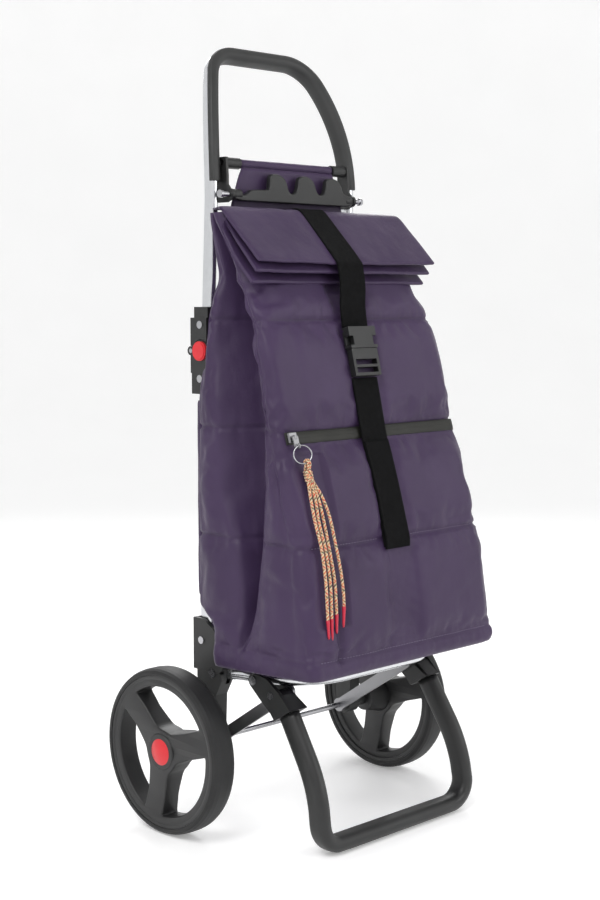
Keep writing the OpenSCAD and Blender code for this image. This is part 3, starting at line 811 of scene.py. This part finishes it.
xs = np.arange(-158, 158.1, 4.0)
c = np.array([onf(x, -0.6, 0) for x in xs])
ac = np.tile((0, sa, ca), (len(xs), 1))
up = np.tile((0, -ca, sa), (len(xs), 1))
prof = [(-1, 0.1), (-0.96, 0.8), (-0.7, 0.9), (-0.62, 1.1), (-0.14, 1.25), (-0.05, 1.2),
        (0, 0.95), (0.05, 1.2), (0.14, 1.25), (0.62, 1.1), (0.7, 0.9), (0.96, 0.8), (1, 0.1)]
zb = ribbon("zip_band_coated", c, ac, up, 0.0078, prof, "zip", 0.0002, lo=-0.001, hi=0.0035, flat=0.4)
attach(zb, "zip_band")
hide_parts("zipper_tape")


# ---- stitches
def stitches(name, points, normals, length, r, mat):
    """a row of small raised thread stitches between the points"""
    V, F_ = [], []
    for i in range(len(points) - 1):
        a, b = np.array(points[i]), np.array(points[i + 1])
        d = b - a
        L = np.linalg.norm(d)
        if L < 1e-6:
            continue
        d /= L
        nn = np.array(normals[i])
        s_ = np.cross(d, nn)
        b0 = len(V)
        h = length / 2
        m_ = (a + b) / 2
        for t, w, up_ in ((-1, 0.25, -0.3), (-0.75, 0.9, 0.5),
                          (0, 1.0, 0.9), (0.75, 0.9, 0.5), (1, 0.25, -0.3)):
            for k in range(5):
                an = 2 * math.pi * k / 5
                side, rise = r * w * math.cos(an), r * w * math.sin(an) + r * up_ * 0.6
                V.append(m_ + d * t * h + s_ * side + nn * rise)
        F_ += grid_faces(5, 5, True, b0)
        F_ += [tuple(b0 + k for k in range(5))[::-1], tuple(b0 + 20 + k for k in range(5))]
    return mesh(name, V, F_, mat)


def front_line(z, x0, x1, step, dz=0.0, skip=None):
    """points and normals on the front skin along a level line"""
    ps, ns = [], []
    for x in np.arange(x0, x1, step):
        yy = bag_f(z) - 14
        o = Vector(P(x, yy, z + dz))
        h = SKIN.ray_cast(o, Vector((0, 1, 0)), 0.05)
        if h[0] is None or (skip and skip[0] < x < skip[1]):
            continue
        ps.append(np.array(h[0]))
        ns.append(np.array(h[1]) if h[1].y < 0 else -np.array(h[1]))
    return ps, ns


for i, (z, sk) in enumerate(((387, (-31, 22)), (251, None), (662, (-31, 22)), (526, (-31, 22)))):
    w = bag_w(z) - 16
    for k, (a, b) in enumerate([(-w, w)] if sk is None else [(-w, sk[0]), (sk[1], w)]):
        ps, ns = front_line(z, a, b, 5.0, 0.3)
        o = stitches(f"seam_stitches_{i + 1}_{k + 1}", ps, ns, 0.0034,
                     0.00042, "thread" if i < 2 else "dark_thread")
        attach(o, "frame")


# ---- pole sleeves and rear panel
def shell(name, rings, mat):
    """closed tube wall: rings of points, outer then inner"""
    n = len(rings[0])
    V = [p for r_ in rings for p in r_]
    return mesh(name, V, grid_faces(len(rings), n), mat)


def oval_ring(cx, cy, z, w, d, m=36):
    out = []
    for k in range(m):
        a = 2 * math.pi * k / m
        x, y = math.cos(a) * w / 2, math.sin(a) * w / 2 + (d - w) / 2 * (1 if math.sin(a) >= 0 else -1)
        out.append((cx + x, cy + y, z))
    return out


for s, nm in ((-1, "left"), (1, "right")):
    rings = []
    zs = [300, 301, 304] + list(np.arange(312, 546, 8)) + [552, 555, 556]
    for z in zs:
        e = min(z - 300, 556 - z)
        g = 0.8 * math.sin((z - 300) / 256 * math.pi * 3) ** 2
        r_ = []
        grow = min(e, 3) * 0.4 + g
        for (x, y, q) in oval_ring(126.7 * s, 12, z, 19.0 + grow, 28 + grow):
            k = 0.5 * noise.noise((x * 0.12, y * 0.12, z * 0.05))
            r_.append(P(x, max(y + k, -2.9), q))
        rings.append(r_)
    inner = [[P(*p) for p in oval_ring(126.7 * s, 12, z, 15.6, 24.6)] for z in (556, 428, 300)]
    rings = rings + inner + [rings[0]]
    o = shell(f"pole_sleeve_{nm}", rings[:-1], "quilt")
    bm = bmesh.new()
    bm.from_mesh(o.data)
    bm.verts.ensure_lookup_table()
    n = 36
    L = len(bm.verts) - n
    for j in range(n):
        k = (j + 1) % n
        bm.faces.new((bm.verts[L + j], bm.verts[L + k], bm.verts[k], bm.verts[j]))
    bmesh.ops.recalc_face_normals(bm, faces=bm.faces)
    bm.to_mesh(o.data)
    bm.free()
    for p in o.data.polygons:
        p.use_smooth = True
    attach(o, "frame")
    if s < 0:
        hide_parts("upright_sleeves")


def rear_panel():
    """cloth panel on the handle: a front and a back grid, joined round the rim"""
    cols, rows, z0, z1 = 34, 42, 625, 858
    front, back = [], []
    for i in range(rows):
        z = z0 + (z1 - z0) * i / (rows - 1)
        w = ip(z, [625, 700, 808, 846, 858], [104, 106, 103, 90, 84])
        for j in range(cols):
            x = -w + 2 * w * j / (cols - 1)
            edge = min(w - abs(x), z - z0)
            hem = 0.5 if 3 < edge < 5 else 0
            b = 0.9 * noise.noise((x * 0.02, 2.0, z * 0.03)) + 0.36 * noise.noise((x * 0.07, 5.0, z * 0.05))
            front.append(P(x, -9.9 + b * 0.5 + hem, z))
            back.append(P(x, -8.2 + b * 0.5, z))
    n = cols * rows
    F_ = [(i * cols + j, i * cols + j + 1, (i + 1) * cols + j + 1, (i + 1) * cols + j)
          for i in range(rows - 1) for j in range(cols - 1)]
    F_ += [tuple(n + k for k in f)[::-1] for f in F_]
    rim = list(range(cols))
    rim += [i * cols + cols - 1 for i in range(1, rows)]
    rim += [(rows - 1) * cols + j for j in range(cols - 2, -1, -1)]
    rim += [i * cols for i in range(rows - 2, 0, -1)]
    for a, b in zip(rim, rim[1:] + rim[:1]):
        F_.append((b, a, a + n, b + n))
    return mesh("rear_panel", front + back, F_, "quilt")


rp = rear_panel()
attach(rp, "handle")
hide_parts("back_panel")
hem_path = [(x, -4 + 0.25 * math.sin(x * 0.2), 863) for x in np.arange(-84, 84.1, 4)]
ph = tube("rear_panel_hem", hem_path, 6.1, "quilt", 24, up=(0, 1, 0))
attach(ph, "handle")


# ---- handle tube, grip and foot loop (same centre lines as the CAD)
def sweep(name, fr, sec, mat):
    """carry a section along a list of frames"""
    V = [P(*(o_ + a * u + b * v)) for o_, u, v in fr for a, b in sec]
    return mesh(name, V, capped(len(fr), len(sec)), mat)


def stadium(ha, hb, m=10):
    """outline of a flat oval tube, half sizes ha by hb"""
    turn = [math.pi * i / m for i in range(m + 1)]
    far = [(ha * math.cos(a), ha * math.sin(a) + hb - ha) for a in turn]
    near = [(ha * math.cos(math.pi + a), ha * math.sin(math.pi + a) - hb + ha) for a in turn]
    return far + near


# pivot height, tube's half spacing, bend radii: upper bend backwards, taper inwards, corner
LEAN = rad(2.5)
HZ, TR, BR, SR, CR = 621.0, 126.7, 375.0, 390.0, 53.0
HS0, HY0 = HZ + 19, 11 - 19 * math.tan(LEAN)
HS1 = (808 - HS0) / math.cos(LEAN)


def h_frame(x, s, a):
    """frame of the handle at x, length s along its side, direction a"""
    if s <= HS1:
        y, z, t = HY0 - s * math.sin(LEAN), HS0 + s * math.cos(LEAN), LEAN
    else:
        q = (s - HS1) / BR
        t = LEAN - q
        y = HY0 - HS1 * math.sin(LEAN) + BR * (math.cos(LEAN) - math.cos(t))
        z = HS0 + HS1 * math.cos(LEAN) + BR * (math.sin(LEAN) - math.sin(t))
    es = np.array([0, -math.sin(t), math.cos(t)])
    across = math.cos(rad(a)) * np.array([1, 0, 0]) + math.sin(rad(a)) * es
    return np.array([x, y, z]), across, np.array([0, -math.cos(t), -math.sin(t)])


def flip(l): return [(-x, s, 180 - a) for x, s, a in l[::-1]]


AS, AA = HS1 + 30.7, 22.0
AW = TR - SR * (1 - math.cos(rad(AA))) - CR * math.cos(rad(AA))
AT = AS + SR * math.sin(rad(AA)) - CR * math.sin(rad(AA))
low = [(TR, s, 0) for s in np.linspace(0, HS1 + 15, 12)]
arc = [(TR - SR * (1 - math.cos(rad(a))), AS + SR * math.sin(rad(a)), a) for a in np.linspace(0, AA, 16)]
arc += [(AW + CR * math.cos(rad(a)), AT + CR * math.sin(rad(a)), a) for a in np.linspace(AA, 90, 15)[1:]]
both = low + arc + flip(arc) + flip(low)
ht = sweep("handle_loop_tube", [h_frame(*q) for q in both], stadium(6.5, 10), "tube")
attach(ht, "handle")
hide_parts("handle_tube")
GRIP = [(7.1, 4.4), (7.3, 8), (5.6, 11.4), (0, 12.7), (-5.2, 11.7), (-8.6, 8), (-9.2, 3.5),
        (-9.2, -3.5), (-8, -8.4), (-4.4, -11.6), (-3.3, -9.3), (-5.75, -6.85), (-6.6, -3.5),
        (-6.6, 3.5), (-5.75, 6.85), (-3.3, 9.3), (0, 10.15), (3.3, 9.3), (5.75, 6.85), (6.6, 4.2)]
gp = sweep("handle_grip_cover", [h_frame(*q) for q in arc + flip(arc)], GRIP, "grip")
be = gp.modifiers.new("soft", "BEVEL")
be.width = 0.0007
be.segments = 2
be.limit_method = "ANGLE"
be.angle_limit = rad(38)
bake_mods(gp)
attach(gp, "handle")
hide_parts("handle_grip")

# foot loop: bend radius, bend angle, length below the bend, its Y there
FR, FA = 170.0, 32.5
FS1, FOOT_Y = 25.0, -206.5
FS2 = FS1 + FR * rad(FA)
FE = FS2 + 61.3


def f_frame(x, s, a):
    """frame of the foot loop at x, length s along its bend, direction a"""
    t = 0 if s <= FS1 else min(rad(FA), (s - FS1) / FR)
    e = max(0, s - FS2)
    y, z = FOOT_Y, s
    if s > FS1:
        y += FR * (1 - math.cos(t)) + e * math.sin(t)
        z = FS1 + FR * math.sin(t) + e * math.cos(t)
    es = np.array([0, math.sin(t), math.cos(t)])
    across = math.cos(rad(a)) * np.array([1, 0, 0]) + math.sin(rad(a)) * es
    return np.array([x, y, z]), across, np.array([0, -math.cos(t), math.sin(t)])


fh = [(108 + 30 * math.cos(rad(a)), 41.5 + 30 * math.sin(rad(a)), a) for a in np.linspace(-90, 0, 13)]
fh += [(138 - (s - 40) * 0.033, s, 0) for s in np.linspace(60, FE, 18)]
route = flip(fh)[:-1] + [(0, 11.5, -90)] + fh
fl = sweep("foot_loop_tube", [f_frame(*q) for q in route], stadium(10, 15), "plastic")
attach(fl, "foot")
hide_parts("foot_loop")


# ---- hook bar
HOOKS = [(-110.5, 816), (-110.5, 829), (-104, 827), (-93, 820.5), (-80, 829), (-48, 830.5), (-46.5, 847),
         (-43, 851), (-34, 851.5), (-25, 849), (-18, 843), (-13, 830), (-8, 826.5), (-1, 827), (4, 833),
         (6, 846), (10, 850.5), (19, 851.5), (28, 849), (35, 843), (40, 831), (45, 827.5), (52, 828),
         (57, 833), (58.5, 846), (62, 850.5), (71, 851), (80, 849), (87, 842), (91, 832), (100, 828.5),
         (110.5, 829), (110.5, 816), (96, 814), (-96, 814)]


def rounded(poly, it=2):
    """cut the corners of an outline, about 2 mm at a time"""
    p = np.array(poly, float)
    for _ in range(it):
        q = np.roll(p, -1, 0)
        L = np.linalg.norm(q - p, axis=1)
        out = []
        for i in range(len(p)):
            k = min(0.25, 2.0 / max(L[i], 1e-6))
            out += [p[i] * (1 - k) + q[i] * k, p[i] * k + q[i] * (1 - k)]
        p = np.array(out)
    return p


def plate(name, poly, y0, y1, mat, r=1.8):
    """flat plate with rounded edges between y0 and y1"""
    p = rounded(poly)
    d = np.roll(p, -1, 0) - np.roll(p, 1, 0)
    d /= np.linalg.norm(d, axis=1, keepdims=True) + 1e-9
    nn = np.stack([d[:, 1], -d[:, 0]], -1)
    signed = 0.5 * np.sum(p[:, 0] * np.roll(p[:, 1], -1) - np.roll(p[:, 0], -1) * p[:, 1])
    nn *= 1 if signed > 0 else -1
    rings = []
    for k in range(5):
        a = k * math.pi / 8
        rings.append((r * (1 - math.sin(a)), y0 + r * (1 - math.cos(a))))
    for k in range(4, -1, -1):
        a = k * math.pi / 8
        rings.append((r * (1 - math.sin(a)), y1 - r * (1 - math.cos(a))))
    V = [P(q[0] - m_[0] * i_, y, q[1] - m_[1] * i_) for i_, y in rings for q, m_ in zip(p, nn)]
    o = mesh(name, V, capped(len(rings), len(p)), mat)
    bm = bmesh.new()
    bm.from_mesh(o.data)
    bmesh.ops.triangulate(bm, faces=[f for f in bm.faces if len(f.verts) > 6])
    bm.to_mesh(o.data)
    bm.free()
    for q in o.data.polygons:
        q.use_smooth = len(q.vertices) == 4
    return o


hb = plate("bag_hooks", HOOKS, -25, -16, "plastic")
ENDS = [(97, 6.2), (98, 7), (109.9, 7), (110.7, 6.2)]          # boss: x, radius
BOSS_R = [r for x, r in ENDS]
b1 = tube("bag_hooks_boss_left", [(-x, -19, 822) for x, r in ENDS[::-1]], BOSS_R[::-1], "plastic", 28)
b2 = tube("bag_hooks_boss_right", [(x, -19, 822) for x, r in ENDS], BOSS_R, "plastic", 28)
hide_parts("hook_bar")
for o in (hb, b1, b2):
    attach(o, "hooks")


# ---- wheels
WHEEL_R = 108


def chaikin(p, it=4):
    """round a closed outline by corner cutting"""
    p = np.array(p, float)
    for _ in range(it):
        q = np.roll(p, -1, 0)
        p = np.stack([0.75 * p + 0.25 * q, 0.25 * p + 0.75 * q], 1).reshape(-1, 2)
    return p


def lathe(name, prof, mat, s, m=96):
    """prof: [(x, r)] closed outline about the wheel axis"""
    turn = np.arange(m) * 2 * math.pi / m
    V = [P(s * x, r * math.cos(a), WHEEL_R + r * math.sin(a)) for a in turn for x, r in prof]
    n = len(prof)
    F_ = []
    for k in range(m):
        here, there = k * n, (k + 1) % m * n
        F_ += [(here + j, here + (j + 1) % n, there + (j + 1) % n, there + j) for j in range(n)]
    return mesh(name, V, F_, mat)


def spokes(name, s):
    """three-spoke disc with rounded openings and a slight dish"""
    cu = bpy.data.curves.new(name, "CURVE")
    cu.dimensions = "2D"
    cu.fill_mode = "BOTH"
    cu.extrude = 0.0125
    cu.bevel_depth = 0.0024
    cu.bevel_resolution = 2

    def ring(pts):
        sp = cu.splines.new("POLY")
        sp.points.add(len(pts) - 1)
        sp.use_cyclic_u = True
        for q, (a, b) in zip(sp.points, pts):
            q.co = (a / 1000, b / 1000, 0, 1)
    ring([(93.8 * math.cos(a), 93.8 * math.sin(a)) for a in np.arange(96) * 2 * math.pi / 96])
    edge = [(74, 12.8), (58, 12.6), (44, 13.4), (31, 15.0)]       # radius, half width of a spoke there
    rows = [(89.5, 12.5, (-1, -0.86, -0.6, -0.3, 0, 0.3, 0.6, 0.86, 1))]
    rows += [(r0, hw, (1,)) for r0, hw in edge]
    rows += [(29, 0, (0,))]
    rows += [(r0, hw, (-1,)) for r0, hw in edge[::-1]]
    for c0 in (78, 198, 318):                                     # middles of the three openings
        pts = []
        for r0, hw, ks in rows:
            half = 60 - math.degrees(math.asin(min(0.86, (hw + 2.4) / r0)))
            for k in ks:
                a = rad(c0 + k * half)
                pts.append((-(r0 - 2) * math.cos(a), (r0 - 2) * math.sin(a)))
        ring(chaikin(pts, 3))
    ob = bpy.data.objects.new(name, cu)
    S.collection.objects.link(ob)
    bpy.context.view_layer.update()
    me = bpy.data.meshes.new_from_object(ob.evaluated_get(bpy.context.evaluated_depsgraph_get()))
    S.collection.objects.unlink(ob)
    bpy.data.objects.remove(ob)
    c_ = np.empty(len(me.vertices) * 3)
    me.vertices.foreach_get("co", c_)
    c_ = c_.reshape(-1, 3)
    r2 = np.hypot(c_[:, 0], c_[:, 1]) * 1000
    dish = np.interp(r2, [0, 24, 60, 94], [0.0, 0.0, -2.5, 0.0]) / 1000
    out = np.stack([s * (0.2068 + c_[:, 2] + np.where(c_[:, 2] > 0, dish, -dish)),
                   c_[:, 0] + YO, c_[:, 1] + WHEEL_R / 1000], -1)
    me.vertices.foreach_set("co", out.ravel())
    me.update()
    o = bpy.data.objects.new(name, me)
    S.collection.objects.link(o)
    me.materials.clear()
    me.materials.append(M["rim"])
    bm = bmesh.new()
    bm.from_mesh(me)
    bmesh.ops.remove_doubles(bm, verts=bm.verts, dist=1e-6)
    bmesh.ops.recalc_face_normals(bm, faces=bm.faces)
    bm.to_mesh(me)
    bm.free()
    for p in me.polygons:
        p.use_smooth = True
    me.set_sharp_from_angle(angle=rad(40))
    return o


# closed outlines about the axle: x, radius
RIM = [(189.2, 98.7), (189.2, 95.6), (190.4, 93.6), (194, 92.6), (206, 92.2), (218, 92.6),
       (221.6, 93.6), (222.8, 95.6), (222.8, 98.7)]
HUB = [(160.1, 7.2), (160.1, 15), (161.5, 17), (186, 22.5), (190, 24), (221.2, 24),
       (222.4, 22.8), (222.5, 12.2), (206.4, 12.1), (206.3, 7.2)]
for s, nm in ((-1, "left"), (1, "right")):
    o = spokes(f"wheel_spokes_{nm}", s)
    rm = lathe(f"wheel_rim_{nm}", RIM, "rim", s)
    hu = lathe(f"wheel_hub_{nm}", HUB, "rim", s, 64)
    for p in (rm, hu):
        p.data.set_sharp_from_angle(angle=rad(40))
    for p in (o, rm, hu):
        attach(p, f"road_wheel_{nm}")
    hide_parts(f"wheel_{nm}")

# ---- knot
kp = Vector((-141.5, -187.5, 477.5))
ck, sk_ = math.cos(rad(-17.1)), math.sin(rad(-17.1))


def kn(x, y, z):
    """a place near the knot, turned with the bag's slope there"""
    return (kp.x + x, kp.y + y * ck - z * sk_, kp.z + y * sk_ + z * ck)


TURNS = 4
wrap = []
for t in np.linspace(0, 2 * math.pi * TURNS, 90):
    wrap.append(kn(4.1 * math.cos(t), 4.1 * math.sin(t), 3.5 - 14.0 * t / (2 * math.pi * TURNS)))
kw = braid("knot_wrap", np.array(wrap), 1.85, 12, 7.0)
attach(kw, "tassel")
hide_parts("tassel_knot")
for i, dx in enumerate((-3.6, -0.4)):              # loops over the ring, leaning with it
    lp = [(0.3 * dx + 1.0, 2.4, -2.0), (0.6 * dx, 1.6, 4.0), (dx, -1.9, 9.5)]
    lp += [(dx, -4.5 + 2.6 * math.cos(t), 13.1 + 2.6 * math.sin(t))
            for t in np.linspace(-0.2, math.pi + 0.2, 9)]
    lp += [(dx, -7.0, 9.5), (0.6 * dx, -4.4, 4.0), (0.3 * dx + 1.0, -2.4, -2.0)]
    lo_ = braid(f"ring_loop_{i + 1}", spline([kn(*q) for q in lp], 0.8), 1.7, 12, 7.0)
    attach(lo_, "tassel")

DIPS = (((-147.6, -227.4, 303), (-146.6, -228.4, 279.5)), ((-141, -227.4, 304), (-140.6, -228.4, 277.5)),
        ((-132, -227, 308), (-132.6, -228, 284.5)), ((-119, -227, 316), (-120.8, -228, 290.5)))
DIP_R = [2.25, 2.3, 2.2, 2.0, 1.85, 1.75, 1.7, 1.6, 1.0]
for i, (a, b) in enumerate(DIPS):
    q = np.linspace(a, b, 9)
    o = tube(f"dipped_end_{i + 1}", q, DIP_R, "tip", 14)
    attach(o, "tassel")
    if i == 0:
        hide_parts("tassel_ends")
RING_R, RING_TURNS, RING_PITCH = 11.3, 1.95, 1.5
RING_X, RING_Y, RING_Z = -147, -12.2, -23
cw, sw = math.cos(rad(32)), math.sin(rad(32))
coil = []
for t in np.linspace(0, 2 * math.pi * RING_TURNS, 120):
    h_ = (t / (2 * math.pi) - 0.97) * RING_PITCH
    x, z = RING_R * math.sin(t), RING_R * math.cos(t)
    coil.append((RING_X + x * cw - h_ * sw, RING_Y - x * sw - h_ * cw, RING_Z + z))
coil = [tuple(np.array(onf(*p)) * 1000 - np.array((0, YO * 1000, 0))) for p in coil]
kr = tube("split_ring", coil, 0.72, "steel", 12)
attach(kr, "tassel")
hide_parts("key_ring")

# ---- finishes of the CAD nodes that stay
FIN = dict(
    tube="lower_upright_left lower_upright_right platform_hoop",
    steel="axle axle_clips frame_rivets hinge_pins fork_rivets hook_pins panel_rod foot_rivets",
    dark_steel="link_left link_right zip_pull zip_slider",
    red="release_button_left release_button_right hub_cap_left hub_cap_right",
    tread="tyre_left tyre_right",
    plastic="hinge_base_left hinge_base_right side_guard_left side_guard_right wheel_arm_left "
            "wheel_arm_right axle_spacers hinge_fork_left hinge_fork_right rod_bracket_left "
            "rod_bracket_right foot_bracket_left foot_bracket_right buckle_socket buckle_tongue "
            "wheel_bush_left wheel_bush_right base_board",
    web="foot_pad")
for k, names in FIN.items():
    for n_ in names.split():
        o = frame["nodes"][n_]
        o = o if hasattr(o, "material_slots") else bpy.data.objects[n_]
        if not o.material_slots:
            o.data.materials.append(M[k])
        for sl2 in o.material_slots:
            sl2.material = M[k]

# soft pieces each get their own copy of their mesh data
loose = [x for x in bpy.data.objects if x.name.startswith(("seam_stitches", "pole_sleeve"))]
for o in [bag] + folds + [su, sl, se] + loose:
    z = float(np.mean(coords(o)[:, 2]))
    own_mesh(o)

# ---- stage and light
fm = N("pale_floor")
fcol = fm.ramp(fm.noise(3.0, 2), (0.88, 0.88, 0.88), (0.90, 0.90, 0.90))
fmat = fm.done(fcol, 0.55, None, **{"Specular IOR Level": 0.2, "Emission Color": (1, 1, 1, 1),
                                    "Emission Strength": 0.22})
FLAT_R, BOWL_R = 5.5, 3.0                       # flat floor, then a wide bowl up to a wall, metres
prof = [(0.01, 0.0), (2.0, 0.0), (FLAT_R, 0.0)]
for a in np.linspace(0.1, math.pi / 2, 14):
    prof.append((FLAT_R + BOWL_R * math.sin(a), BOWL_R - BOWL_R * math.cos(a)))
prof.append((8.5, 6.0))
turn = np.arange(64) * 2 * math.pi / 64
V = [(r_ * math.cos(a), r_ * math.sin(a), z - 0.0002) for r_, z in prof for a in turn]
fo = mesh("studio_floor", V, grid_faces(len(prof), 64) + [tuple(range(64))], fmat)
wo = bpy.data.worlds.new("studio")
S.world = wo
wo.use_nodes = True
wo.node_tree.nodes["Background"].inputs[0].default_value = (1, 1, 1, 1)
wo.node_tree.nodes["Background"].inputs[1].default_value = 0.62


def area(name, loc, at, size, power):
    """a rectangular lamp turned towards a point"""
    l = bpy.data.lights.new(name, "AREA")
    l.shape = "RECTANGLE"
    l.size, l.size_y = size
    l.energy = power
    o = bpy.data.objects.new(name, l)
    S.collection.objects.link(o)
    o.location = loc
    o.rotation_euler = (Vector(at) - Vector(loc)).to_track_quat("-Z", "Y").to_euler()


area("key", (-1.7, -0.6, 2.3), (0, 0, 0.5), (1.3, 1.3), 34)
area("fill", (0.9, -2.2, 1.3), (0, 0, 0.5), (1.6, 1.6), 16)
area("rim_light", (1.3, 1.4, 1.8), (0, 0, 0.6), (1.2, 1.2), 22)
S.view_settings.view_transform = "Standard"
